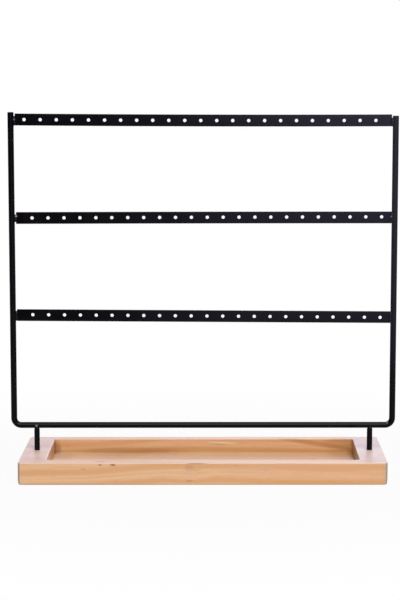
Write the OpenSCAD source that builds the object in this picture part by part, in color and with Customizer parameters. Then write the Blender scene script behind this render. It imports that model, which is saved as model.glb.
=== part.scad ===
// Earring display stand: a wooden base with a routed tray carries a bent wire frame on two short posts.
// Three perforated bars are welded between the uprights of the frame, and earrings hang in their holes.
// X runs along the stand, Y from front to back, Z up. The origin is on the table, under the middle.

/* [Wooden base] */
// Length of the wooden block
base_length = 255.8; // [200:0.2:320]
// Depth of the wooden block, front to back
base_depth = 90; // [70:1:120]
// Thickness of the wooden block
base_height = 15.5; // [13:0.5:25]
// How far the back of the block's left end stands in from its front, as the end was sawn
left_end_skew = 2.2; // [0:0.1:5]
// Radius of the block's four upright corners
base_corner_radius = 2; // [2:0.5:8]
// Radius of the rounding along the block's top edges
top_edge_radius = 0.4; // [0.2:0.1:1.5]
// Radius of the rounding along its bottom edges
bottom_edge_radius = 1; // [0.5:0.25:2]

/* [Tray in the base] */
// Wood left at the left end of the tray
left_ear = 20.2; // [14:0.1:30]
// Wood left at the right end of the tray
right_ear = 18.6; // [14:0.1:30]
// Wood left along the front of the tray
front_rim = 11; // [5:0.5:20]
// Wood left along the back of the tray
rear_rim = 8.5; // [5:0.5:20]
// Depth of the tray below the block's top
tray_depth = 10; // [4:0.5:10.5]
// Radius of the tray's upright corners
tray_corner_radius = 2.5; // [1.5:0.5:8]
// Radius of the rounding along the tray's upper edge
tray_edge_radius = 0.5; // [0.5:0.25:1.5]

/* [Wire frame] */
// Diameter of the round wire with its coat
wire_diameter = 4.1; // [3:0.1:5]
// How far the left upright stands out past the block's end
left_overhang = 7.8; // [6:0.1:15]
// How far the right upright stands out past the block's end
right_overhang = 8.9; // [6:0.1:15]
// Inner radius of the two bends in the wire
bend_radius = 3; // [3:0.5:8]
// Gap between the block's top and the wire above it
rail_gap = 15.8; // [10:0.1:30]
// How far the left upright reaches above the top bar's middle
left_tip_rise = 5.7; // [4:0.1:20]
// How far the right upright reaches above the top bar's middle
right_tip_rise = 3.2; // [3:0.1:20]

/* [Perforated bars] */
// Height of each bar with its coat, edge to edge
bar_height = 8.1; // [7:0.1:12]
// Thickness of each bar
bar_thickness = 1.2; // [0.8:0.1:2]
// Diameter of each hole in a bar
hole_diameter = 2.4; // [2:0.1:4]
// Distance from one hole to the next
hole_pitch = 11.13; // [8:0.01:15]
// Least metal left between the last hole and the end of a bar
end_margin = 4; // [3:0.5:6]
// Height from the rail's middle to the lower bar's middle
lower_row = 78.1; // [60:0.1:90]
// Height from the lower bar's middle to the middle bar's
middle_row = 69.7; // [50:0.1:90]
// Height from the middle bar's middle to the top bar's
top_row = 68; // [50:0.1:90]
// Slope of the top bar as welded, in degrees, up to the right
top_tilt = -0.14; // [-0.5:0.01:0.5]
// Slope of the middle bar
middle_tilt = 0.08; // [-0.5:0.01:0.5]
// Slope of the lower bar
lower_tilt = -0.34; // [-0.5:0.01:0.5]
// Distance from the top bar's left end to its first hole
top_first_hole = 6.8; // [4:0.1:15]
// The same distance on the middle and lower bars
other_first_hole = 11.3; // [4:0.1:15]
// How far the holes stand above the middle of the top, middle and lower bars
hole_rises = [0, 0.2, 0]; // [-0.5:0.1:0.5]
// Slope of each bar's row of holes against the bar itself, in degrees, up to the right
hole_slopes = [0, 0.1, -0.13]; // [-0.2:0.01:0.2]

/* [Welds] */
// Radius of the weld bead at each end of a bar
bead_radius = 1.6; // [1.2:0.1:1.8]
// Gap between the left upright and the top, middle and lower bars
left_gaps = [0.9, 1.1, 0.9]; // [0.2:0.1:3]
// Gap between the right upright and the same three bars
right_gaps = [0.8, 0.3, 0.3]; // [0.2:0.1:3]
// How far each left bead stops short of its bar's upper edge
left_notches = [1.3, 1.6, 1.1]; // [0:0.1:2]
// The same for the right beads
right_notches = [1.8, 0, 0]; // [0:0.1:2]
// How far each left bead stops short of its bar's lower edge
left_low_notches = [0, 1.1, 0]; // [0:0.1:2]

/* [Posts] */
// Diameter of the two round posts
post_diameter = 3.5; // [2.5:0.1:5]
// How far the left post stands inside the middle of its ear
left_post_drift = 0.3; // [-1:0.1:1]
// How far the right post stands outside the middle of its ear
right_post_drift = 0.2; // [-1:0.1:1]
// Depth of the hole in the block that holds a post
post_hole_depth = 10; // [5:0.5:11]
// Clearance round a post in its hole
post_clearance = 0.05; // [0:0.01:0.2]
// Gap between a post's flat end and the wire, filled by its weld
post_gap = 0.4; // [0.2:0.1:0.8]
// How far the bead on a post stands out past the wire, to front and back
post_bead_proud = 0.8; // [0.2:0.1:1.5]
// How much that bead is narrower than the post, on each side
post_bead_inset = 0.15; // [0.05:0.05:0.5]

/* [Hidden] */
$fn = 48;
cut = 1;

wire_radius = wire_diameter / 2;
bend = bend_radius + wire_radius;
frame_width = base_length + left_overhang + right_overhang;
upright_x = frame_width / 2 - wire_radius;
inner_x = upright_x - wire_radius;
base_x = (left_overhang - right_overhang) / 2;
end_angle = atan(left_end_skew / base_depth);
rail_z = base_height + rail_gap + wire_radius;

lower_z = rail_z + lower_row;
middle_z = lower_z + middle_row;
top_z = middle_z + top_row;
row_z = [top_z, middle_z, lower_z];
row_tilt = [top_tilt, middle_tilt, lower_tilt];
row_first_hole = [top_first_hole, other_first_hole, other_first_hole];

left_post_x = base_x - base_length / 2 + left_ear / 2 + left_post_drift;
right_post_x = base_x + base_length / 2 - right_ear / 2 + right_post_drift;
post_top = rail_z - wire_radius - post_gap;
post_bottom = base_height - post_hole_depth;
post_bead_radius = post_diameter / 2 - post_bead_inset;

tray_length = base_length - left_ear - right_ear;
tray_width = base_depth - front_rim - rear_rim;
tray_x = base_x + (left_ear - right_ear) / 2;
tray_y = (front_rim - rear_rim) / 2;

// Rectangle with round corners, centred
module rounded_rectangle(length, width, radius) {
  square([length - 2 * radius, width], center = true);
  square([length, width - 2 * radius], center = true);
  for (x = [-1, 1], y = [-1, 1])
    translate([x * (length / 2 - radius), y * (width / 2 - radius)])
      circle(radius);
}

// The block seen from above: round corners, and a left end that isn't quite square
module block_outline() {
  r = base_corner_radius;
  right = base_length / 2;
  back = base_depth / 2;
  front_corner = [r / tan(45 - end_angle / 2) - right, r - back];
  back_corner = [left_end_skew + r / tan(45 + end_angle / 2) - right, back - r];
  outwards = r * [-cos(end_angle), sin(end_angle)];
  polygon([
    [front_corner[0], -back],
    [right - r, -back],
    [right, r - back],
    [right, back - r],
    [right - r, back],
    [back_corner[0], back],
    back_corner + outwards,
    front_corner + outwards
  ]);
  for (centre = [front_corner, back_corner, [right - r, r - back], [right - r, back - r]])
    translate(centre)
      circle(r);
}

// Cross-section of a board as thick as the block, with its top and bottom edges rounded
module board_section(width) {
  intersection() {
    rounded_rectangle(width, 2 * base_height, top_edge_radius);
    translate([0, base_height])
      rounded_rectangle(width, 2 * base_height, bottom_edge_radius);
  }
}

// Block with round corners in plan and with its other edges rounded
module rounded_block() {
  intersection() {
    linear_extrude(base_height)
      block_outline();
    translate([-base_length / 2, 0, 0])
      rotate([90, 0, 90])
        linear_extrude(base_length)
          board_section(base_depth);
    translate([-base_length / 2, base_depth / 2, 0])
      rotate([90, 0, 0])
        linear_extrude(base_depth)
          board_section(2 * base_length);
    translate([-base_length / 2, -base_depth / 2, 0])
      rotate([0, 0, -end_angle])
        translate([base_length, 1.5 * base_depth, 0])
          rotate([90, 0, 0])
            linear_extrude(2 * base_depth)
              board_section(2 * base_length);
  }
}

// Round bead of wood along the tray's rim: cutting the rim back to it rounds the edge
module tray_edge_bead() {
  along_x = tray_length / 2 - tray_corner_radius;
  along_y = tray_width / 2 - tray_corner_radius;
  reach = tray_corner_radius + tray_edge_radius;
  for (side = [-1, 1]) {
    translate([-along_x, side * (along_y + reach), 0])
      rotate([0, 90, 0])
        cylinder(r = tray_edge_radius, h = 2 * along_x);
    translate([side * (along_x + reach), along_y, 0])
      rotate([90, 0, 0])
        cylinder(r = tray_edge_radius, h = 2 * along_y);
  }
  for (corner = [0:3])
    translate([(corner == 0 || corner == 3 ? 1 : -1) * along_x, (corner < 2 ? 1 : -1) * along_y, 0])
      rotate([0, 0, 90 * corner])
        rotate_extrude(angle = 90)
          translate([reach, 0])
            circle(tray_edge_radius);
}

// What the router takes out of the block: the tray and the rounding of its upper edge
module tray_cut() {
  translate([tray_x, tray_y, base_height - tray_depth])
    linear_extrude(tray_depth + cut)
      rounded_rectangle(tray_length, tray_width, tray_corner_radius);
  translate([tray_x, tray_y, base_height - tray_edge_radius])
    difference() {
      linear_extrude(tray_edge_radius + cut)
        rounded_rectangle(
          tray_length + 2 * tray_edge_radius,
          tray_width + 2 * tray_edge_radius,
          tray_corner_radius + tray_edge_radius
        );
      tray_edge_bead();
    }
}

module wooden_base() {
  color("burlywood")
    difference() {
      translate([base_x, 0, 0])
        rounded_block();
      tray_cut();
      for (x = [left_post_x, right_post_x])
        translate([x, 0, post_bottom])
          cylinder(d = post_diameter + 2 * post_clearance, h = post_hole_depth + cut);
    }
}

// Round wire standing up, from one height to another
module upright(x, low, high) {
  translate([x, 0, low])
    cylinder(d = wire_diameter, h = high - low);
}

// Quarter turn of the wire between the rail and the upright on one side
module wire_bend(side) {
  translate([side * (upright_x - bend), 0, rail_z + bend])
    rotate([90, 0, 0])
      rotate([0, 0, side > 0 ? -90 : 180])
        rotate_extrude(angle = 90)
          translate([bend, 0])
            circle(d = wire_diameter);
}

module rail() {
  translate([bend - upright_x, 0, rail_z])
    rotate([0, 90, 0])
      cylinder(d = wire_diameter, h = 2 * (upright_x - bend));
}

module u_frame() {
  color("dimgray") {
    rail();
    wire_bend(-1);
    wire_bend(1);
    upright(-upright_x, rail_z + bend, top_z + left_tip_rise);
    upright(upright_x, rail_z + bend, top_z + right_tip_rise);
  }
}

// Turns what it is given about the middle of a bar's row, by the slope the bar was welded at
module in_row(row) {
  translate([0, 0, row_z[row]])
    rotate([0, -row_tilt[row], 0])
      children();
}

// Perforated strip between the uprights
module bar(row) {
  left_end = left_gaps[row] - inner_x;
  length = inner_x - right_gaps[row] - left_end;
  last_hole = floor((length - row_first_hole[row] - end_margin) / hole_pitch);
  in_row(row)
    difference() {
      translate([left_end, -bar_thickness / 2, -bar_height / 2])
        cube([length, bar_thickness, bar_height]);
      translate([0, bar_thickness, hole_rises[row]])
        rotate([0, -hole_slopes[row], 0])
          for (i = [0:last_hole])
            translate([left_end + row_first_hole[row] + i * hole_pitch, 0, 0])
              rotate([90, 0, 0])
                cylinder(d = hole_diameter, h = 2 * bar_thickness);
    }
}

module top_bar() {
  color("dimgray")
    bar(0);
}

module middle_bar() {
  color("dimgray")
    bar(1);
}

module lower_bar() {
  color("dimgray")
    bar(2);
}

// Upright bead with round ends that bridges the gap between an upright and the end of a bar
module weld(side, row) {
  gap = side < 0 ? left_gaps[row] : right_gaps[row];
  notch = side < 0 ? left_notches[row] : right_notches[row];
  low_notch = side < 0 ? left_low_notches[row] : 0;
  bead_x = side * (inner_x - gap / 2);
  bead_z = row_z[row] + bead_x * sin(row_tilt[row]);
  low = bead_z - bar_height / 2 + low_notch + bead_radius;
  high = bead_z + bar_height / 2 - notch - bead_radius;
  color("dimgray")
    difference() {
      translate([bead_x, 0, low]) {
        cylinder(r = bead_radius, h = high - low);
        sphere(bead_radius);
        translate([0, 0, high - low])
          sphere(bead_radius);
      }
      upright(side * upright_x, low - 2 * bead_radius, high + 2 * bead_radius);
      in_row(row)
        translate([side < 0 ? gap - inner_x : -cut, -bar_thickness / 2, -bar_height])
          cube([inner_x - gap + cut, bar_thickness, 2 * bar_height]);
    }
}

module top_left_weld() {
  weld(-1, 0);
}

module top_right_weld() {
  weld(1, 0);
}

module middle_left_weld() {
  weld(-1, 1);
}

module middle_right_weld() {
  weld(1, 1);
}

module lower_left_weld() {
  weld(-1, 2);
}

module lower_right_weld() {
  weld(1, 2);
}

// Round rod from the bottom of its hole to just under the rail
module post(x) {
  color("dimgray")
    translate([x, 0, post_bottom])
      cylinder(d = post_diameter, h = post_top - post_bottom);
}

module left_post() {
  post(left_post_x);
}

module right_post() {
  post(right_post_x);
}

// Bead that fills the gap over a post's end and climbs the rail at front and back
module post_weld(x) {
  reach = wire_radius + post_bead_proud - post_bead_radius;
  color("dimgray")
    difference() {
      translate([x, reach, post_top + post_gap / 2])
        rotate([90, 0, 0]) {
          cylinder(r = post_bead_radius, h = 2 * reach);
          sphere(post_bead_radius);
          translate([0, 0, 2 * reach])
            sphere(post_bead_radius);
        }
      rail();
      translate([x, 0, post_top - 2 * post_bead_radius])
        cylinder(d = post_diameter, h = 2 * post_bead_radius);
    }
}

module left_post_weld() {
  post_weld(left_post_x);
}

module right_post_weld() {
  post_weld(right_post_x);
}

wooden_base();
u_frame();
top_bar();
middle_bar();
lower_bar();
left_post();
right_post();
top_left_weld();
top_right_weld();
middle_left_weld();
middle_right_weld();
lower_left_weld();
lower_right_weld();
left_post_weld();
right_post_weld();
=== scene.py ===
from math import cos, pi, radians, sin, tan

import bmesh
import bpy
from mathutils import Matrix, Vector, noise


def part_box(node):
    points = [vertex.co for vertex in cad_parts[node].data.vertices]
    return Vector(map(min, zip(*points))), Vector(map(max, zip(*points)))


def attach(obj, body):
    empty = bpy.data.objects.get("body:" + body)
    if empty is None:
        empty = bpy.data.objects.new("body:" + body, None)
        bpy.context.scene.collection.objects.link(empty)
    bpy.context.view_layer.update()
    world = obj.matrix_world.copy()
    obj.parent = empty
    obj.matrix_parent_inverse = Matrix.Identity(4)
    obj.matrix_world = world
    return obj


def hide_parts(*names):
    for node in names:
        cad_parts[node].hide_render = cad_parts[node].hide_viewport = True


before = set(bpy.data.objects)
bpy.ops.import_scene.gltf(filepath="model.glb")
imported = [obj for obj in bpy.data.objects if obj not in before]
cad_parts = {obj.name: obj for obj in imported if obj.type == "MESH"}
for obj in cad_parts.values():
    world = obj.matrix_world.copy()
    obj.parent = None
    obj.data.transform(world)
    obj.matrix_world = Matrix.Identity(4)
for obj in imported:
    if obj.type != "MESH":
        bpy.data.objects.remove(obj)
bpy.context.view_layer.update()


# Wooden base.
# One block of light hardwood, planed, with a tray routed a little out of square and a blind hole in each
# ear for a post. It is sanded by hand, which rounds the lower edges at the ends the most, and lacquered.

base_low, base_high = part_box("wooden_base")
left_ear = 0.0202
right_ear = 0.0186
front_rim = 0.011
rear_rim = 0.0085
tray_depth = 0.010
tray_corner = 0.0025
least_tray_corner = 0.0009
tray_lip = 0.0005
tray_fillet = 0.0003
left_end_skew = 0.0022
tray_left_skew = 0.0016
tray_left_shift = -0.00125
tray_right_flare = 0.00045
skew_reach = 0.012
block_corner = 0.002
least_block_corner = 0.0006
top_edge = 0.0004
bottom_edge = 0.001
end_rounding = 0.0025
edge_hold = 0.0006
sanding = 0.00005
sanding_waves = 45
sanding_seed = 1
unsanded_below = 0.0005
arc_steps = 8
edge_steps = 7
long_steps = 48
short_steps = 16
wall_shares = (0.2, 0.4, 0.6, 0.8)
# Painted shade in the tray: its depth at the wall's foot and floor's edge, and its reach over the floor.
wall_shade = 0.8
foot_shade = 0.6
shade_reach = 0.004


def rounded_outline(low, high, corner):
    """Points anticlockwise round a rectangle with round corners, always the same number of them."""
    turns = [(high.x, low.y, -90), (high.x, high.y, 0), (low.x, high.y, 90), (low.x, low.y, 180)]
    inward = [(-1, 1), (-1, -1), (1, -1), (1, 1)]
    arcs = []
    for (x, y, start), (dx, dy) in zip(turns, inward):
        angles = [radians(start + 90 * k / arc_steps) for k in range(arc_steps + 1)]
        middle = Vector((x + dx * corner, y + dy * corner))
        arcs.append([middle + corner * Vector((cos(a), sin(a))) for a in angles])
    points = []
    for i, arc in enumerate(arcs):
        points += arc
        steps = short_steps if i % 2 == 0 else long_steps
        following = arcs[(i + 1) % 4][0]
        points += [arc[-1].lerp(following, k / steps) for k in range(1, steps)]
    return points


def quarter_turn(steps):
    """The angles from 0 to 90 degrees in so many steps, in radians."""
    return [radians(90 * k / steps) for k in range(steps + 1)]


def bridge(mesh, lower, upper):
    """Faces from one closed loop of points to the next."""
    for i in range(len(lower)):
        j = (i + 1) % len(lower)
        mesh.faces.new((lower[i], lower[j], upper[j], upper[i]))


def as_made(point, tray_left, tray_right):
    """A point of the exact block, moved by the errors of its making.

    The lower edges at both ends are rounded. The block's left end and the tray's two ends are out of
    square, and the error fades away from each. Sanding leaves waves, but not on the underside.
    """
    x = point.x
    from_end = min(x - base_low.x, base_high.x - x)
    arm = Vector((end_rounding - from_end, end_rounding - point.z))
    if min(arm) > 0 and arm.length > end_rounding:
        arm.length = end_rounding
        from_end = end_rounding - arm.x
        x = base_low.x + from_end if x < 0 else base_high.x - from_end
        point.z = end_rounding - arm.y
    back = (point.y - base_low.y) / (base_high.y - base_low.y)
    on_ear = (tray_left - x) / (tray_left - base_low.x)
    near_left = max(1 - abs(x - tray_left) / skew_reach, 0)
    near_right = max(1 - abs(x - tray_right) / skew_reach, 0)
    x += left_end_skew * back * min(max(on_ear, 0), 1)
    x += near_left * (tray_left_skew * back + tray_left_shift)
    point.x = x + near_right * tray_right_flare * back ** 2
    if point.z > unsanded_below:
        point += sanding * noise.noise_vector(point * sanding_waves)
    return point


def routed_block():
    """The block as one closed skin: bottom, sides, top, lip of the tray, its walls and its floor.

    The attribute for the tray's painted shade rises from 0 to 1 down its walls, and fades out over its floor.
    """
    mesh = bmesh.new()
    routed = mesh.verts.layers.float.new("routed")
    low = base_low.xy + Vector((sanding, sanding))
    high = base_high.xy - Vector((sanding, sanding))
    top = base_high.z - sanding
    tray_low = Vector((base_low.x + left_ear, base_low.y + front_rim))
    tray_high = Vector((base_high.x - right_ear, base_high.y - rear_rim))
    tray_floor = base_high.z - tray_depth
    quarter = quarter_turn(edge_steps)
    outlines = []

    def outline(low, high, corner, inset, z, depth=0):
        step = Vector((inset, inset))
        path = rounded_outline(low + step, high - step, corner)
        outlines.append([mesh.verts.new((p.x, p.y, z)) for p in path])
        for vertex in outlines[-1]:
            vertex[routed] = depth

    def block_outline(inset, z):
        outline(low, high, max(block_corner - inset, least_block_corner), inset, z)

    def tray_outline(inset, z, depth=0):
        outline(tray_low, tray_high, max(tray_corner - inset, least_tray_corner), inset, z, depth)

    block_outline(bottom_edge + end_rounding, 0)
    block_outline(bottom_edge + edge_hold, 0)
    for a in quarter:
        block_outline(bottom_edge * (1 - sin(a)), bottom_edge * (1 - cos(a)))
    for share in wall_shares:
        block_outline(0, bottom_edge + share * (top - top_edge - bottom_edge))
    for a in quarter:
        block_outline(top_edge * (1 - cos(a)), top - top_edge * (1 - sin(a)))
    block_outline(top_edge + edge_hold, top)
    tray_outline(-tray_lip - edge_hold, top)
    for a in quarter:
        tray_outline(-tray_lip * (1 - sin(a)), top - tray_lip * (1 - cos(a)))
    for share in (*wall_shares, 1):
        z = top - tray_lip - share * (top - tray_floor - tray_lip - tray_fillet)
        tray_outline(0, z, wall_shade * share)
    for a in quarter[1:]:
        depth = wall_shade + (1 - wall_shade) * sin(a)
        tray_outline(tray_fillet * (1 - cos(a)), tray_floor + tray_fillet * (1 - sin(a)), depth)
    tray_outline(tray_fillet + edge_hold, tray_floor, foot_shade)
    tray_outline(tray_fillet + shade_reach, tray_floor, 0)

    for lower, upper in zip(outlines, outlines[1:]):
        bridge(mesh, lower, upper)
    mesh.faces.new(outlines[0])
    mesh.faces.new(outlines[-1])
    for vertex in mesh.verts:
        vertex.co = as_made(vertex.co.copy(), tray_low.x, tray_high.x)
    bmesh.ops.recalc_face_normals(mesh, faces=mesh.faces)
    return mesh


def finished(mesh, name, smooth_below=40):
    """A new object from a bmesh, shaded smooth except at edges sharper than the given angle."""
    data = bpy.data.meshes.new(name)
    mesh.to_mesh(data)
    mesh.free()
    piece = bpy.data.objects.new(name, data)
    bpy.context.collection.objects.link(piece)
    data.shade_smooth()
    data.set_sharp_from_angle(angle=radians(smooth_below))
    return piece


def add_node(tree, kind, inputs=None, **settings):
    """A node with its settings, and with each input linked to a socket or set to a value."""
    node = tree.nodes.new(kind)
    for name, value in settings.items():
        setattr(node, name, value)
    for name, value in (inputs or {}).items():
        if isinstance(value, bpy.types.NodeSocket):
            tree.links.new(value, node.inputs[name])
        else:
            node.inputs[name].default_value = value
    return node


def new_material(name):
    material = bpy.data.materials.new(name)
    material.use_nodes = True
    material.node_tree.nodes.clear()
    return material, material.node_tree


def split(tree, vector):
    return add_node(tree, "ShaderNodeSeparateXYZ", {0: vector}).outputs


def added(tree, first, second):
    return add_node(tree, "ShaderNodeMath", {0: first, 1: second}, operation="ADD").outputs[0]


def multiplied(tree, first, second):
    return add_node(tree, "ShaderNodeMath", {0: first, 1: second}, operation="MULTIPLY").outputs[0]


def unsigned(tree, value):
    return add_node(tree, "ShaderNodeMath", {0: value}, operation="ABSOLUTE").outputs[0]


def moved(tree, place, move, operation="ADD"):
    """One vector added to another, or worked on it by another operation."""
    return add_node(tree, "ShaderNodeVectorMath", {0: place, 1: move}, operation=operation).outputs[0]


def mixed(tree, share, first, second, blend="MIX"):
    settings = {"Factor": share, 6: first, 7: second}
    return add_node(tree, "ShaderNodeMix", settings, data_type="RGBA", blend_type=blend).outputs[2]


def between(tree, value, low, high, to_low=0, to_high=1):
    """The value's range from low to high, moved to the range from to_low to to_high."""
    settings = {"Value": value, "From Min": low, "From Max": high, "To Min": to_low, "To Max": to_high}
    return add_node(tree, "ShaderNodeMapRange", settings, interpolation_type="SMOOTHSTEP").outputs[0]


def stretched_noise(tree, place, scale, detail=2, roughness=0.5):
    """Noise whose lumps are 1 / scale metres long on each axis."""
    mapped = add_node(tree, "ShaderNodeMapping", {"Vector": place, "Scale": scale})
    settings = {"Vector": mapped.outputs[0], "Scale": 1, "Detail": detail, "Roughness": roughness}
    return add_node(tree, "ShaderNodeTexNoise", settings).outputs


def soft_spot(tree, place, centre, reach, slope=0):
    """1 at the centre, fading to 0 where it reaches along X, Y and Z, turned by the slope in degrees."""
    settings = {"Vector": place, "Location": centre, "Rotation": (0, radians(slope), 0), "Scale": reach}
    local = add_node(tree, "ShaderNodeMapping", settings, vector_type="TEXTURE")
    return add_node(
        tree, "ShaderNodeTexGradient", {"Vector": local.outputs[0]}, gradient_type="SPHERICAL"
    ).outputs["Fac"]


def waves(tree, place, spacing, distortion=0, start=0, **settings):
    """Waves with their crests the given distance apart, 1 on the crests and 0 between them."""
    inputs = {"Vector": place, "Distortion": distortion, "Phase Offset": start}
    inputs["Scale"] = 2 * pi / (20 * spacing)
    return add_node(tree, "ShaderNodeTexWave", inputs, wave_profile="SIN", **settings).outputs["Fac"]


pale = (0.772, 0.459, 0.238, 1)
fawn = (0.688, 0.355, 0.150, 1)
orange = (0.672, 0.304, 0.092, 1)
rosy = (0.760, 0.400, 0.225, 1)
olive = (0.620, 0.370, 0.110, 1)
brown = (0.200, 0.090, 0.040, 1)
scar = (0.200, 0.070, 0.010, 1)
# A burn's brown, which also paints shade on the tray's right wall.
burn_and_shade = (0.120, 0.042, 0.005, 1)
# Painted highlight on the tray's lips.
lip_highlight = (0.960, 0.760, 0.660, 1)
# Painted grey shade on the block's corners.
corner_shade_grey = (0.300, 0.235, 0.175, 1)
# Painted sheen on faces that look up, whiter and pinker on the ears, most on the right ear.
painted_sheen = (0.97, 0.68, 0.455, 1)
left_ear_sheen = (0.92, 0.69, 0.69, 1)
right_ear_sheen = (0.93, 0.79, 0.82, 1)
golden_tint = (1, 0.985, 0.94, 1)
end_tint = (0.84, 0.78, 0.70, 1)
# Painted shade in the tray.
tray_shade_tint = (0.770, 0.730, 0.430, 1)
white = (1, 1, 1, 1)

# Single marks, as centre, reach, slope in degrees, depth and colour.
marks = [
    # Scars near the left of the front face, and a stain on the rim over them.
    ((-0.0831, -0.045, 0.0112), (0.0022, 0.004, 0.0006), 12, 0.45, scar),
    ((-0.0713, -0.045, 0.0142), (0.0016, 0.003, 0.0007), -6, 0.80, scar),
    ((-0.0625, -0.045, 0.0142), (0.0026, 0.003, 0.0008), 3, 0.95, scar),
    ((-0.0715, -0.040, 0.0155), (0.0060, 0.0014, 0.003), 0, 0.65, brown),
    # The knot in the middle of the front face.
    ((-0.0050, -0.045, 0.0153), (0.0085, 0.0012, 0.0007), 0, 0.60, brown),
    ((-0.0098, -0.045, 0.0030), (0.0034, 0.004, 0.0010), 0, 0.35, brown),
    ((-0.0048, -0.045, 0.0110), (0.0060, 0.003, 0.0018), -4, 0.60, olive),
    ((0.0040, -0.045, 0.0128), (0.0090, 0.003, 0.0010), -3, 0.45, olive),
    ((-0.0095, -0.045, 0.0072), (0.0070, 0.003, 0.0022), 0, 0.60, rosy),
    # A pinhole and a thin line on the tray's floor.
    ((-0.0200, 0.0316, 0.0055), (0.0013, 0.0011, 0.002), 0, 0.85, burn_and_shade),
    ((-0.0350, 0.0309, 0.0055), (0.0220, 0.0007, 0.002), 0, 0.45, brown),
    # Painted shade along the foot of the rear wall's left half, bands of grain on that wall, and the floor's
    # darker ends.
    ((-0.0520, 0.0365, 0.0068), (0.0500, 0.004, 0.0034), 0, 0.52, (0.45, 0.165, 0.005, 1)),
    ((-0.0150, 0.0365, 0.0125), (0.0220, 0.004, 0.0018), 0, 0.60, rosy),
    ((0.0830, 0.0365, 0.0120), (0.0460, 0.004, 0.0023), 9, 0.70, (0.50, 0.18, 0.015, 1)),
    ((0.1010, 0.0365, 0.0125), (0.0190, 0.004, 0.0055), 0, 0.50, (0.44, 0.155, 0.015, 1)),
    ((0.1020, 0.0340, 0.0055), (0.0150, 0.026, 0.0030), 0, 0.36, (0.46, 0.22, 0.020, 1)),
    ((-0.1000, 0.0250, 0.0050), (0.0090, 0.022, 0.0026), 0, 0.25, (0.50, 0.26, 0.08, 1)),
    # A pale sliver on the rear wall, with its shade under it.
    ((0.0140, 0.0365, 0.0128), (0.0150, 0.002, 0.0006), 2, 0.85, (0.92, 0.68, 0.46, 1)),
    ((0.0115, 0.0365, 0.0114), (0.0075, 0.002, 0.0010), 2, 0.55, (0.50, 0.33, 0.17, 1)),
    # Painted shade in the tray's left rear corner and over its right wall, deepest low at the front.
    ((-0.1080, 0.0365, 0.0062), (0.0062, 0.006, 0.0115), 0, 0.60, (0.21, 0.060, 0, 1)),
    ((0.1087, -0.0020, 0.0090), (0.0014, 0.0425, 0.0130), 0, 0.46, burn_and_shade),
    ((0.1087, -0.0335, 0.0060), (0.0014, 0.0110, 0.0060), 0, 0.45, burn_and_shade),
    # Deeper orange to the right of the front face.
    ((0.1050, -0.045, 0.0018), (0.0850, 0.004, 0.0032), 0, 0.45, (0.650, 0.285, 0.060, 1)),
    ((0.0850, -0.045, 0.0125), (0.0550, 0.004, 0.0035), 0, 0.25, orange),
    # Painted light on the tray's left wall, and painted highlights along its lips at both ends.
    ((-0.1088, -0.0230, 0.0105), (0.0022, 0.0200, 0.0090), 0, 0.60, (1, 0.72, 0.42, 1)),
    ((-0.1088, 0.0180, 0.0157), (0.0011, 0.025, 0.0016), 0, 0.50, lip_highlight),
    ((-0.1096, -0.0180, 0.0157), (0.0011, 0.025, 0.0016), 0, 0.50, lip_highlight),
    ((0.1092, 0.0010, 0.0157), (0.0011, 0.040, 0.0016), 0, 0.60, lip_highlight),
    # Painted shade along the front face's bottom edge, and greyish at its two ends.
    ((0, -0.045, 0), (0.5, 0.004, 0.0014), 0, 0.55, (0.64, 0.42, 0.25, 1)),
    ((0.1275, -0.045, 0.0070), (0.0042, 0.004, 0.0130), 0, 0.40, (0.42, 0.33, 0.25, 1)),
    ((-0.1287, -0.045, 0.0070), (0.0036, 0.004, 0.0130), 0, 0.30, (0.62, 0.47, 0.37, 1)),
    # Painted light on the ears in front of each post, over the post's dark reflection.
    ((-0.1181, -0.0170, 0.0155), (0.0058, 0.0140, 0.003), 0, 0.50, (1, 0.71, 0.55, 1)),
    ((0.1183, -0.0170, 0.0155), (0.0058, 0.0140, 0.003), 0, 0.50, (1, 0.76, 0.66, 1)),
    # Painted grey shade on the two lower front corners.
    ((0.1268, -0.0445, 0.0006), (0.0014, 0.006, 0.0016), 0, 0.70, corner_shade_grey),
    ((-0.1279, -0.0445, 0.0006), (0.0016, 0.006, 0.0016), 0, 0.70, corner_shade_grey),
]


def bent_grain(tree, place, sides):
    """Where each point lies in the grain, which wanders, rises to the left and bulges round the knot."""
    wander = stretched_noise(tree, place, (6, 24, 24), 2)["Color"]
    centred = moved(tree, wander, (0.5, 0.5, 0.5), "SUBTRACT")
    sway = moved(tree, centred, (0, 0.011, 0.008), "MULTIPLY")
    knot = soft_spot(tree, place, (-0.009, -0.045, 0.0048), (0.019, 0.02, 0.0055))
    lean = between(tree, sides["X"], -0.085, -0.015, 0.0043, 0)
    rise = added(tree, multiplied(tree, knot, 0.0032), lean)
    bulge = add_node(tree, "ShaderNodeCombineXYZ", {"Z": rise}).outputs[0]
    return moved(tree, place, moved(tree, sway, bulge))


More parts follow.
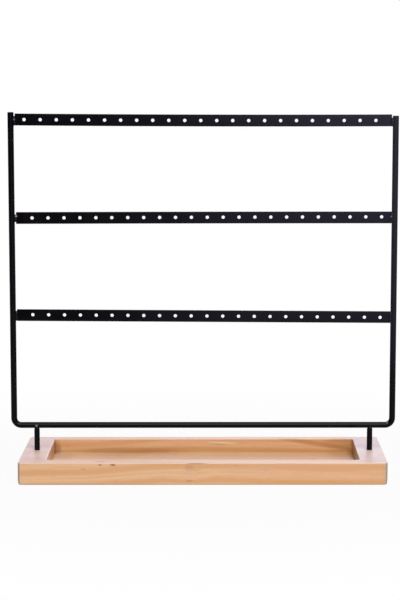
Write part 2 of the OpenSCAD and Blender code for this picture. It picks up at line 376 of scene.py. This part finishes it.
def sawn_wood(tree, grain):
    """The colour of the bare wood, with growth rings round a pith below and behind the block.

    The streaks, fibres and pores are handed back too, for the gloss and the relief.
    """
    settings = {"Vector": grain, "Location": (0, -0.030, 0.110)}
    from_pith = add_node(tree, "ShaderNodeMapping", settings).outputs[0]
    growth = {"wave_type": "RINGS", "rings_direction": "X"}
    bands = waves(tree, from_pith, 0.0086, start=-1.1, **growth)
    late_wood = waves(tree, from_pith, 0.0019, **growth)
    cloud = stretched_noise(tree, grain, (9, 60, 60), 2)["Fac"]
    streaks = stretched_noise(tree, grain, (14, 520, 520), 3, 0.6)["Fac"]
    fibres = stretched_noise(tree, grain, (60, 2300, 2300), 3, 0.65)["Fac"]
    pores = stretched_noise(tree, grain, (240, 3300, 3300), 1)["Fac"]
    body = mixed(tree, between(tree, bands, 0.35, 1, 0, 0.8), pale, orange)
    body = mixed(tree, between(tree, cloud, 0.50, 0.70, 0, 0.5), body, rosy)
    body = mixed(tree, between(tree, late_wood, 0.55, 1, 0, 0.22), body, fawn)
    body = mixed(tree, between(tree, streaks, 0.42, 0.70, 0, 0.65), body, fawn)
    body = mixed(tree, between(tree, streaks, 0.40, 0.26, 0, 0.50), body, pale)
    body = mixed(tree, between(tree, fibres, 0.50, 0.74, 0, 0.35), body, orange)
    body = mixed(tree, between(tree, pores, 0.66, 0.80, 0, 0.40), body, brown)
    return body, streaks, fibres, pores


def sheen_painted_above(tree, body, grain, sides, upward, from_middle):
    """The body with a painted sheen where it faces up, most on the ears and least at the back of the tray."""
    ears = between(tree, from_middle, 0.100, 0.112)
    ear_sheen = mixed(tree, between(tree, sides["X"], -0.1, 0.1), left_ear_sheen, right_ear_sheen)
    sheen_colour = mixed(tree, ears, painted_sheen, ear_sheen)
    # The painted sheen fades towards the back of the tray's floor, and on the rims grows to the right.
    floor_share = between(tree, sides["Y"], 0.036, 0.010, 0.12, 0.50)
    floor_share = multiplied(tree, floor_share, between(tree, sides["X"], -0.09, 0.09, 1.18, 0.92))
    rim_share = between(tree, sides["X"], -0.090, 0.010, 0.30, 0.55)
    top_share = mixed(tree, ears, rim_share, (0.45, 0.45, 0.45, 1))
    share = mixed(tree, between(tree, sides["Z"], 0.007, 0.015), floor_share, top_share)
    body = mixed(tree, multiplied(tree, share, upward), body, sheen_colour)
    lines = stretched_noise(tree, grain, (7, 190, 190), 2)["Fac"]
    lined = multiplied(tree, between(tree, lines, 0.48, 0.66, 0, 0.55), upward)
    lined = multiplied(tree, lined, between(tree, from_middle, 0.112, 0.100))
    body = mixed(tree, lined, body, mixed(tree, 0.45, body, fawn))
    golden = between(tree, sides["X"], -0.03, 0.09)
    return mixed(tree, golden, body, mixed(tree, ears, golden_tint, white), "MULTIPLY")


def lacquered_wood():
    """Satin lacquered wood with painted sheen on top, single marks and painted shade in the tray."""
    material, tree = new_material("lacquered_wood")
    place = add_node(tree, "ShaderNodeTexCoord").outputs["Object"]
    sides = split(tree, place)
    facing = split(tree, add_node(tree, "ShaderNodeNewGeometry").outputs["Normal"])
    upward = between(tree, facing["Z"], 0.2, 0.8)
    from_middle = unsigned(tree, sides["X"])
    grain = bent_grain(tree, place, sides)
    body, streaks, fibres, pores = sawn_wood(tree, grain)
    body = sheen_painted_above(tree, body, grain, sides, upward, from_middle)

    ray_cells = waves(tree, place, 0.0011, 1.5, wave_type="BANDS", bands_direction="X")
    ray_patch = soft_spot(tree, place, (-0.0100, -0.045, 0.0122), (0.0042, 0.01, 0.0032))
    ray_depth = multiplied(tree, between(tree, ray_patch, 0, 0.5), ray_cells)
    body = mixed(tree, multiplied(tree, ray_depth, 0.42), body, brown)
    for centre, reach, slope, depth, colour in marks:
        spot = soft_spot(tree, place, centre, reach, slope)
        body = mixed(tree, between(tree, spot, 0, 0.6, 0, depth), body, colour)

    endways = unsigned(tree, facing["X"])
    body = mixed(tree, between(tree, endways, 0.5, 0.9), body, end_tint, "MULTIPLY")
    # Painted grey shade on the block's rounded upright corners.
    corners = multiplied(tree, between(tree, endways, 0.12, 0.45), between(tree, from_middle, 0.1205, 0.1245))
    body = mixed(tree, multiplied(tree, corners, 0.55), body, corner_shade_grey)
    # Painted shade, deepening down the tray's walls into the corner with its floor.
    routed = add_node(tree, "ShaderNodeAttribute", attribute_name="routed").outputs["Fac"]
    body = mixed(tree, between(tree, routed, 0.15, 1), body, tray_shade_tint, "MULTIPLY")

    relief = added(tree, fibres, pores)
    bump = add_node(tree, "ShaderNodeBump", {"Height": relief, "Strength": 0.1, "Distance": 0.00002})
    wood = add_node(
        tree, "ShaderNodeBsdfPrincipled",
        {
            "Base Color": body,
            "Roughness": between(tree, streaks, 0.3, 0.7, 0.38, 0.44),
            "Specular IOR Level": 0.5,
            "Coat Weight": 1,
            "Coat Roughness": 0.55,
            "Coat IOR": 1.7,
            "Normal": bump.outputs[0],
        },
    )
    add_node(tree, "ShaderNodeOutputMaterial", {"Surface": wood.outputs[0]})
    return material


post_boxes = [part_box("left_post"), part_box("right_post")]
hole_mouth = 0.00215
hole_foot = 0.00200
hole_sides = 48
cut_middle = 0.001
cut_height = 0.0021

# With a seed, the waves that sanding leaves come out the same in each run.
noise.seed_set(sanding_seed)
wooden_base = finished(routed_block(), "wooden_base_body")

# Only the mouth of each hole is cut, 2 mm deep, as the post hides the rest.
cutter = bmesh.new()
for low, high in post_boxes:
    middle = (low + high) / 2
    hole = Matrix.Translation((middle.x, middle.y, base_high.z - cut_middle))
    bmesh.ops.create_cone(
        cutter, cap_ends=True, segments=hole_sides, radius1=hole_foot, radius2=hole_mouth,
        depth=cut_height, matrix=hole,
    )
drill = finished(cutter, "drill")
boring = wooden_base.modifiers.new("boring", "BOOLEAN")
boring.operation = "DIFFERENCE"
boring.solver = "EXACT"
boring.object = drill
even = wooden_base.modifiers.new("even", "WEIGHTED_NORMAL")
even.keep_sharp = True


def settled(piece):
    """The piece with its modifiers worked into a plain mesh."""
    graph = bpy.context.evaluated_depsgraph_get()
    data = bpy.data.meshes.new_from_object(piece.evaluated_get(graph), depsgraph=graph)
    name = piece.name
    bpy.data.objects.remove(piece)
    data.name = name
    plain = bpy.data.objects.new(name, data)
    bpy.context.collection.objects.link(plain)
    return plain


wooden_base = settled(wooden_base)
bpy.data.objects.remove(drill)
wooden_base.data.materials.clear()
wooden_base.data.materials.append(lacquered_wood())
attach(wooden_base, "root")
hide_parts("wooden_base")


# Wire frame.
# One length of 4 mm steel wire, sheared at both ends and bent twice into a U. Like all the metal it was
# powder coated black after welding. The coat softens the cut ends, and is 0.1 mm thicker than in the CAD.

frame_low, frame_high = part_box("u_frame")
wire_radius = (frame_high.y - frame_low.y) / 2
bend_radius = 0.00505
bend_steps = 16
wire_sides = 40
tip_difference = 0.0025
frame_coat = 0.0001
frame_softening = 0.0004
deep_black = (0.0014, 0.0010, 0.0015, 1)
thin_black = (0.0028, 0.0020, 0.0030, 1)
# The cool grey of the painted light on the metal.
painted_light_grey = (0.0235, 0.0210, 0.0335, 1)
grit_grey = (0.014, 0.013, 0.016, 1)
# The grey and size of the painted glints.
glint_grey = (0.34, 0.34, 0.35, 1)
glint_size = (0.0010, 0.0016, 0.0009)
# How much painted light greys the top right.
corner_grey = 0.19

# Painted glints, pale specks where a lump of the coat would catch the light, as centre and depth.
painted_glints = [
    ((-0.1309, -0.0008, 0.1822), 0.75),
    ((-0.1182, -0.0020, 0.0332), 0.70),
    ((-0.1316, -0.0010, 0.2498), 0.30),
    ((0.1316, -0.0008, 0.1820), 0.30),
    ((0.1305, -0.0014, 0.0352), 0.35),
]


def black_powder_coat(name, smoothest, roughest, shine, low_grey=0, high_grey=0):
    """Black powder coat: a fine orange peel, uneven in depth and gloss, with painted light to the top right.

    Low_grey and high_grey change that painted light near the rail and further up; below zero they paint
    shade.
    """
    material, tree = new_material(name)
    place = add_node(tree, "ShaderNodeTexCoord").outputs["Object"]
    sides = split(tree, place)
    cloud = stretched_noise(tree, place, (60, 60, 60), 3)["Fac"]
    peel = stretched_noise(tree, place, (1500, 1500, 1500), 2, 0.6)["Fac"]
    grit = stretched_noise(tree, place, (4200, 4200, 4200), 1)["Fac"]
    # Painted light, greyer to the right, to the top right and further up.
    rightward = between(tree, sides["X"], -0.14, 0.02, -0.03, 0.14)
    near_top = between(tree, sides["Z"], 0.06, 0.29, 0, corner_grey + high_grey)
    near_corner = multiplied(tree, between(tree, sides["X"], -0.03, 0.12), near_top)
    upward = between(tree, sides["Z"], 0.035, 0.110, low_grey, high_grey)
    painted_light = added(tree, added(tree, rightward, near_corner), upward)
    colour = mixed(tree, between(tree, cloud, 0.35, 0.65), deep_black, thin_black)
    colour = mixed(tree, between(tree, painted_light, -0.02, 0.50), colour, painted_light_grey)
    colour = mixed(tree, between(tree, grit, 0.68, 0.80, 0, 0.4), colour, grit_grey)
    # Painted glints.
    for centre, depth in painted_glints:
        glint = soft_spot(tree, place, centre, glint_size)
        colour = mixed(tree, between(tree, glint, 0, 0.5, 0, depth), colour, glint_grey)
    relief = added(tree, peel, grit)
    bump = add_node(tree, "ShaderNodeBump", {"Height": relief, "Strength": 0.06, "Distance": 0.00003})
    coat = add_node(
        tree, "ShaderNodeBsdfPrincipled",
        {
            "Base Color": colour,
            "Roughness": between(tree, cloud, 0.3, 0.7, smoothest, roughest),
            "Specular IOR Level": shine,
            "Normal": bump.outputs[0],
        },
    )
    add_node(tree, "ShaderNodeOutputMaterial", {"Surface": coat.outputs[0]})
    return material


powder_coat = black_powder_coat("black_powder_coat", 0.22, 0.30, 0.10)
# The wire's coat has painted shade low at the rail and a little more painted light further up.
wire_coat = black_powder_coat("black_powder_coat_on_wire", 0.22, 0.30, 0.12, -0.17, 0.05)


def new_tree(name, **sockets):
    """A Geometry Nodes tree with these named inputs, and its input and output nodes."""
    tree = bpy.data.node_groups.new(name, "GeometryNodeTree")
    tree.interface.new_socket("Geometry", in_out="INPUT", socket_type="NodeSocketGeometry")
    tree.interface.new_socket("Geometry", in_out="OUTPUT", socket_type="NodeSocketGeometry")
    for label, kind in sockets.items():
        tree.interface.new_socket(label.replace("_", " "), in_out="INPUT", socket_type="NodeSocket" + kind)
    return tree, add_node(tree, "NodeGroupInput").outputs


def end_tree(tree, geometry, material):
    """Ends a tree with real geometry in one material."""
    real = add_node(tree, "GeometryNodeRealizeInstances", {"Geometry": geometry})
    coated = add_node(tree, "GeometryNodeSetMaterial", {"Geometry": real.outputs[0], "Material": material})
    add_node(tree, "NodeGroupOutput", {"Geometry": coated.outputs[0]})


def use_tree(piece, tree, **values):
    """Puts the tree on the piece, with each named input set by its socket's identifier."""
    modifier = piece.modifiers.new(tree.name, "NODES")
    modifier.node_group = tree
    for socket in tree.interface.items_tree:
        key = socket.name.replace(" ", "_")
        if socket.in_out == "INPUT" and key in values:
            modifier[socket.identifier] = values[key]


def bent_wire_tree():
    """Round wire along a path of straight stretches, with each corner bent to one radius."""
    tree, given = new_tree("bent_wire", Wire_radius="Float", Bend_radius="Float", Material="Material")
    path = add_node(tree, "GeometryNodeMeshToCurve", {"Mesh": given["Geometry"]})
    bent = add_node(
        tree, "GeometryNodeFilletCurve",
        {"Curve": path.outputs[0], "Radius": given["Bend radius"], "Count": bend_steps}, mode="POLY",
    )
    section = add_node(
        tree, "GeometryNodeCurvePrimitiveCircle", {"Resolution": wire_sides, "Radius": given["Wire radius"]}
    )
    wire = add_node(
        tree, "GeometryNodeCurveToMesh",
        {"Curve": bent.outputs[0], "Profile Curve": section.outputs[0], "Fill Caps": True},
    )
    smooth = add_node(tree, "GeometryNodeSetShadeSmooth", {"Geometry": wire.outputs[0]})
    end_tree(tree, smooth.outputs[0], given["Material"])
    return tree


bent_wire = bent_wire_tree()


def wire_piece(name, path, radius, bend, softening):
    """A coated wire along the path, with the edges of its sheared ends softened."""
    data = bpy.data.meshes.new(name)
    data.from_pydata(path, [(i, i + 1) for i in range(len(path) - 1)], [])
    piece = bpy.data.objects.new(name, data)
    bpy.context.collection.objects.link(piece)
    use_tree(piece, bent_wire, Wire_radius=radius, Bend_radius=bend, Material=wire_coat)
    soften = piece.modifiers.new("soften", "BEVEL")
    soften.width = softening
    soften.segments = 4
    soften.limit_method = "ANGLE"
    soften.angle_limit = radians(50)
    soften.harden_normals = True
    return settled(piece)


left_x = frame_low.x + wire_radius
right_x = frame_high.x - wire_radius
rail_z = frame_low.z + wire_radius
u_frame = wire_piece(
    "u_frame_wire",
    [
        (left_x + frame_coat, 0, frame_high.z),
        (left_x + frame_coat, 0, rail_z),
        (right_x - frame_coat, 0, rail_z),
        (right_x - frame_coat, 0, frame_high.z - tip_difference),
    ],
    wire_radius + frame_coat, bend_radius, frame_softening,
)
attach(u_frame, "root")
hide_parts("u_frame")


# Perforated bars.
# Three lengths of flat steel strip, punched with a row of round holes that the earrings hang in. Each was
# set between the uprights by eye, so none is quite level or straight, and the top one is turned end to end.

bar_height = 0.0083
bar_thickness = 0.0012
hole_radius = 0.00116
hole_pitch = 0.01113
hole_count = 23
strip_edge = 0.00025
hole_lip = 0.00015
hole_ring = 1.6 * hole_radius
end_fade = 0.004
side_steps = 8
edge_turn = quarter_turn(4)
join_gap = 2e-6
strip_smooth_below = 40
bars = {
    "top_bar": {
        "slope": -0.14, "bow": 0.0004, "first_hole": 0.0068, "drift": 0.00030, "hole_rise": 0,
        "hole_slope": 0,
    },
    "middle_bar": {
        "slope": 0.08, "bow": -0.0001, "first_hole": 0.0113, "drift": 0.00018, "hole_rise": 0.0002,
        "hole_slope": 0.1,
    },
    "lower_bar": {
        "slope": -0.34, "bow": 0, "first_hole": 0.0113, "drift": 0.00018, "hole_rise": 0.00008,
        "hole_slope": -0.13,
    },
}


def strip_section():
    """The strip's outline across its length as (y, z): the front from below, the top, back and bottom."""
    flat = bar_height / 2 - strip_edge
    face = bar_thickness / 2
    rise = [flat * (2 * k / side_steps - 1) for k in range(side_steps + 1)]
    rounding = edge_turn[1:-1]
    front = [(-face, z) for z in rise]
    front_top = [(-face + strip_edge * (1 - cos(a)), flat + strip_edge * sin(a)) for a in rounding]
    top = [(-face + strip_edge, flat + strip_edge), (face - strip_edge, flat + strip_edge)]
    back_top = [(face - strip_edge * (1 - cos(a)), flat + strip_edge * sin(a)) for a in reversed(rounding)]
    upper = front_top + top + back_top
    back = [(face, z) for z in reversed(rise)]
    return front + upper + back + [(-y, -z) for y, z in upper]


def add_section(mesh, x, inset=0):
    """One cross-section of the strip at x, drawn in all round by the inset."""
    across = 1 - 2 * inset / bar_thickness
    along = 1 - 2 * inset / bar_height
    return [mesh.verts.new((x, across * y, along * z)) for y, z in strip_section()]


def strip_end(mesh, inner, outer):
    """Plain strip from the last hole's cell to the cut end of the bar."""
    way = 1 if outer > inner else -1
    loops = [add_section(mesh, inner)]
    for a in edge_turn:
        x = outer - way * strip_edge * (1 - sin(a))
        loops.append(add_section(mesh, x, strip_edge * (1 - cos(a))))
    for near, far in zip(loops, loops[1:]):
        bridge(mesh, near, far)
    mesh.faces.new(loops[-1])


def strip_cell():
    """The strip round one hole, a pitch long and open at both sides, where the next cells join it."""
    mesh = bmesh.new()
    flat = bar_height / 2 - strip_edge
    face = bar_thickness / 2
    steps = [2 * k / side_steps - 1 for k in range(side_steps)]
    border = [(s * hole_pitch / 2, -flat) for s in steps]
    border += [(hole_pitch / 2, s * flat) for s in steps]
    border += [(-s * hole_pitch / 2, flat) for s in steps]
    border += [(-hole_pitch / 2, -s * flat) for s in steps]
    count = len(border)
    lower_left = 225
    angles = [radians(lower_left + 360 * k / count) for k in range(count)]

    def circle(radius, y):
        return [mesh.verts.new((radius * cos(a), y, radius * sin(a))) for a in angles]

    for side in (-1, 1):
        loops = [[mesh.verts.new((x, side * face, z)) for x, z in border]]
        loops.append(circle(hole_ring, side * face))
        for a in edge_turn:
            radius = hole_radius + hole_lip * (1 - sin(a))
            loops.append(circle(radius, side * (face - hole_lip * (1 - cos(a)))))
        loops.append(circle(hole_radius, 0))
        for outer, inner in zip(loops, loops[1:]):
            bridge(mesh, outer, inner)
    top_band = strip_section()[side_steps:side_steps + 2 * len(edge_turn)]
    for turned in (1, -1):
        rows = []
        for s in (*steps, 1):
            rows.append([mesh.verts.new((s * hole_pitch / 2, turned * y, turned * z)) for y, z in top_band])
        for near, far in zip(rows, rows[1:]):
            for i in range(len(top_band) - 1):
                mesh.faces.new((near[i], near[i + 1], far[i + 1], far[i]))
    bmesh.ops.remove_doubles(mesh, verts=mesh.verts, dist=1e-7)
    bmesh.ops.recalc_face_normals(mesh, faces=mesh.faces)
    return mesh


def perforated_strip_tree():
    """Cells with a hole, one after another, joined to the two plain ends that the tree is given."""
    tree, given = new_tree(
        "perforated_strip", Cell="Object", Holes="Int", Pitch="Float", First_hole="Float", Material="Material"
    )
    cell = add_node(tree, "GeometryNodeObjectInfo", {"Object": given["Cell"], "As Instance": True})
    start = add_node(tree, "ShaderNodeCombineXYZ", {"X": given["First hole"]})
    step = add_node(tree, "ShaderNodeCombineXYZ", {"X": given["Pitch"]})
    row = add_node(
        tree, "GeometryNodeMeshLine",
        {"Count": given["Holes"], "Start Location": start.outputs[0], "Offset": step.outputs[0]},
    )
    cells = add_node(
        tree, "GeometryNodeInstanceOnPoints", {"Points": row.outputs[0], "Instance": cell.outputs["Geometry"]}
    )
    real = add_node(tree, "GeometryNodeRealizeInstances", {"Geometry": cells.outputs[0]})
    joined = add_node(tree, "GeometryNodeJoinGeometry")
    tree.links.new(given["Geometry"], joined.inputs[0])
    tree.links.new(real.outputs[0], joined.inputs[0])
    welded = add_node(
        tree, "GeometryNodeMergeByDistance", {"Geometry": joined.outputs[0], "Distance": join_gap}
    )
    end_tree(tree, welded.outputs[0], given["Material"])
    return tree


def skew_holes(strip, rise, slope, drift):
    """Lifts and slopes the row of holes within the strip, whose edges and ends stay where they are.

    Towards the middle the holes drift to the right, and towards the ends to the left.
    """
    flat = bar_height / 2 - strip_edge
    half = max(vertex.co.x for vertex in strip.data.vertices)
    for vertex in strip.data.vertices:
        x = vertex.co.x
        share = min(max((flat - abs(vertex.co.z)) / (flat - hole_ring), 0), 1)
        off_end = min(max((half - abs(x)) / end_fade, 0), 1)
        vertex.co.z += share * (rise + x * tan(radians(slope)))
        vertex.co.x += share * off_end * drift * (1 - 2 * (x / half) ** 2)


def bow_strip(strip, bow):
    """Bends the strip in its own plane, so that its ends stand higher than its middle by the bow."""
    half = max(vertex.co.x for vertex in strip.data.vertices)
    for vertex in strip.data.vertices:
        vertex.co.z += bow * ((vertex.co.x / half) ** 2 - 1 / 3)


strip_cell_piece = finished(strip_cell(), "strip_cell")
perforated_strip = perforated_strip_tree()
for name, bar in bars.items():
    low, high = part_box(name)
    first = low.x + bar["first_hole"]
    last = first + (hole_count - 1) * hole_pitch
    ends = bmesh.new()
    strip_end(ends, first - hole_pitch / 2, low.x)
    strip_end(ends, last + hole_pitch / 2, high.x)
    bmesh.ops.recalc_face_normals(ends, faces=ends.faces)
    strip = finished(ends, name + "_strip")
    use_tree(
        strip, perforated_strip, Cell=strip_cell_piece, Holes=hole_count, Pitch=hole_pitch,
        First_hole=first, Material=powder_coat,
    )
    strip = settled(strip)
    skew_holes(strip, bar["hole_rise"], bar["hole_slope"], bar["drift"])
    bow_strip(strip, bar["bow"])
    middle_z = (low.z + high.z) / 2
    tilt = Matrix.Rotation(-radians(bar["slope"]), 4, "Y")
    strip.data.transform(Matrix.Translation((0, 0, middle_z)) @ tilt)
    strip.data.shade_smooth()
    strip.data.set_sharp_from_angle(angle=radians(strip_smooth_below))
    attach(strip, "root")
    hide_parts(name)
bpy.data.objects.remove(strip_cell_piece)


# Posts.
# Two short lengths of 3.5 mm rod, cut square and thickly coated. Each is welded under the rail and pressed
# into its hole in the block, and they hold the frame just clear of the wood.

rod_coat = 0.0002
rod_softening = 0.0003
for name, (low, high) in zip(["left_post", "right_post"], post_boxes):
    middle = (low + high) / 2
    rod = wire_piece(
        name + "_rod",
        [(middle.x, 0, low.z), (middle.x, 0, high.z)],
        (high.x - low.x) / 2 + rod_coat, 0, rod_softening,
    )
    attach(rod, "root")
    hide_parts(name)


# Weld beads.
# Short beads of weld metal, laid in a few ripples along each joint and then coated with the rest. At
# the bars they fill the gap to the upright, and at the posts they climb the rail at front and back.

glossy_coat = black_powder_coat("black_powder_coat_on_welds", 0.10, 0.15, 0.30)
bead_radius = 0.0015
bead_rings = 36
bead_sides = 36
dome_share = 0.3
ripple_pitch = 0.0011
ripple_depth = 0.05
ripple_lean = 0.8
lump_depth = 0.16
lumps_per_metre = 900
bead_smooth_below = 60


def weld_bead(name, start, end, seed, coat=glossy_coat):
    """A lumpy bead with round ends from start to end, which are the middles of its two end domes.

    The first and last rings make the domes, and those between are spread along the bead.
    """
    axis = (end - start).normalized()
    side = axis.orthogonal().normalized()
    across = axis.cross(side)
    length = (end - start).length
    drift = Vector((seed * 3.1, seed * 1.7, seed * 0.9))
    mesh = bmesh.new()
    loops = []
    for i in range(1, bead_rings):
        turn = pi * i / bead_rings
        share = i / bead_rings
        body_share = (share - dome_share) / (1 - 2 * dome_share)
        along = -bead_radius * cos(turn) + length * min(max(body_share, 0), 1)
        on_dome = share < dome_share or share > 1 - dome_share
        reach = bead_radius * (sin(turn) if on_dome else min(1, sin(turn) + 0.0001) ** 0.5)
        loop = []
        for k in range(bead_sides):
            angle = 2 * pi * k / bead_sides
            out = side * cos(angle) + across * sin(angle)
            place = start + axis * along + out * reach
            ripple = ripple_depth * sin(2 * pi * along / ripple_pitch + ripple_lean * cos(angle))
            lump = lump_depth * noise.noise(place * lumps_per_metre + drift)
            loop.append(mesh.verts.new(start + axis * along + out * reach * (1 + ripple + lump)))
        loops.append(loop)
    tip_low = mesh.verts.new(start - axis * bead_radius)
    tip_high = mesh.verts.new(end + axis * bead_radius)
    for near, far in zip(loops, loops[1:]):
        bridge(mesh, near, far)
    for i in range(bead_sides):
        j = (i + 1) % bead_sides
        mesh.faces.new((tip_low, loops[0][j], loops[0][i]))
        mesh.faces.new((tip_high, loops[-1][i], loops[-1][j]))
    bmesh.ops.recalc_face_normals(mesh, faces=mesh.faces)
    bead = finished(mesh, name + "_bead", bead_smooth_below)
    bead.data.materials.append(coat)
    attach(bead, "root")
    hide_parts(name)


bar_joints = [(row, side) for row in ("top", "middle", "lower") for side in ("left", "right")]
for seed, (row, side) in enumerate(bar_joints, start=1):
    name = f"{row}_{side}_weld"
    low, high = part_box(name)
    bar_low, bar_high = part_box(row + "_bar")
    wire_face = left_x + wire_radius if side == "left" else right_x - wire_radius
    bar_end = bar_low.x if side == "left" else bar_high.x
    x = (wire_face + bar_end) / 2
    weld_bead(name, Vector((x, 0, low.z + bead_radius)), Vector((x, 0, high.z - bead_radius)), seed)

for seed, side in enumerate(("left", "right"), start=11):
    name = side + "_post_weld"
    low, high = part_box(name)
    x = ((low + high) / 2).x
    z = low.z + bead_radius
    front = Vector((x, low.y + bead_radius, z))
    back = Vector((x, high.y - bead_radius, z))
    weld_bead(name, front, back, seed, wire_coat)


# Studio.
# A white paper sheet, a white backdrop, a broad soft lamp over the camera, and the camera. It sees white
# all round, and the sheet keeps the block's soft shadow. Reflections show a dim room and a cool window.

floor_data = bpy.data.meshes.new("floor")
floor_data.from_pydata([(-40, -0.5, 0), (40, -0.5, 0), (40, 40, 0), (-40, 40, 0)], [], [(0, 1, 2, 3)])
floor = bpy.data.objects.new("floor", floor_data)
bpy.context.collection.objects.link(floor)

paper, tree = new_material("white_paper")
place = add_node(tree, "ShaderNodeTexCoord").outputs["Object"]
mottle = stretched_noise(tree, place, (8, 8, 8), 2)["Fac"]
paper_colour = mixed(tree, mottle, (0.60, 0.60, 0.60, 1), (0.62, 0.62, 0.62, 1))
sheet = add_node(tree, "ShaderNodeBsdfDiffuse", {"Color": paper_colour})
glow = add_node(tree, "ShaderNodeEmission", {"Color": white, "Strength": 1})
near_block = soft_spot(tree, place, (0, 0, 0), (0.5, 0.4, 0.4))
whiteness = between(tree, near_block, 0, 0.8, 1, 0.94)
seen = add_node(tree, "ShaderNodeLightPath").outputs["Is Camera Ray"]
surface = add_node(
    tree, "ShaderNodeMixShader",
    {0: multiplied(tree, seen, whiteness), 1: sheet.outputs[0], 2: glow.outputs[0]},
)
add_node(tree, "ShaderNodeOutputMaterial", {"Surface": surface.outputs[0]})
paper.cycles.emission_sampling = "NONE"
floor.data.materials.append(paper)

world = bpy.data.worlds.new("white_studio")
bpy.context.scene.world = world
world.use_nodes = True
world.cycles.sampling_method = "NONE"
tree = world.node_tree
tree.nodes.clear()
rays = add_node(tree, "ShaderNodeLightPath").outputs
towards = split(tree, add_node(tree, "ShaderNodeTexCoord").outputs["Generated"])
dim_room = (0.04, 0.04, 0.04, 1)
window_light = (1.30, 1.24, 1.90, 1)
left_backdrop = (0.90, 0.93, 1.10, 1)
right_backdrop = (1.28, 1.38, 1.76, 1)
front_and_back = (0.40, 0.40, 0.40, 1)
far_sides = (0.15, 0.15, 0.15, 1)
window_left = between(tree, towards["X"], -0.10, 0.20)
window_right = between(tree, towards["X"], 0.25, 0.55, 1, 0)
room = mixed(tree, multiplied(tree, window_left, window_right), dim_room, window_light)
backdrop = mixed(tree, between(tree, towards["X"], -0.09, 0.07), left_backdrop, right_backdrop)
mirrored = mixed(tree, between(tree, towards["Y"], 0.30, 0.80), room, backdrop)
soft = mixed(tree, between(tree, unsigned(tree, towards["X"]), 0.4, 0.9), front_and_back, far_sides)
ambient = mixed(tree, rays["Is Glossy Ray"], soft, mirrored)
shown = mixed(tree, rays["Is Camera Ray"], ambient, white)
air = add_node(tree, "ShaderNodeBackground", {"Color": shown, "Strength": 1})
add_node(tree, "ShaderNodeOutputWorld", {"Surface": air.outputs[0]})


def set_up(name, data, place, aim):
    """A lamp or camera at its place, turned to its aim."""
    stand = bpy.data.objects.new(name, data)
    bpy.context.collection.objects.link(stand)
    stand.location = place
    stand.rotation_euler = (Vector(aim) - Vector(place)).to_track_quat("-Z", "Y").to_euler()
    return stand


lamp = bpy.data.lights.new("key_lamp", "AREA")
lamp.shape = "SQUARE"
lamp.size = 1.6
lamp.energy = 39.5
set_up("key_lamp", lamp, (0.35, -1.4, 1.5), (0, 0, 0.1))

camera_data = bpy.data.cameras.new("camera")
camera_data.lens = 124.0
camera_data.sensor_width = 36
camera = set_up("camera", camera_data, (-0.00562, -1.44176, 0.32275), (-0.00227, 0, 0.12288))
bpy.context.scene.camera = camera

bpy.context.scene.view_settings.view_transform = "Standard"
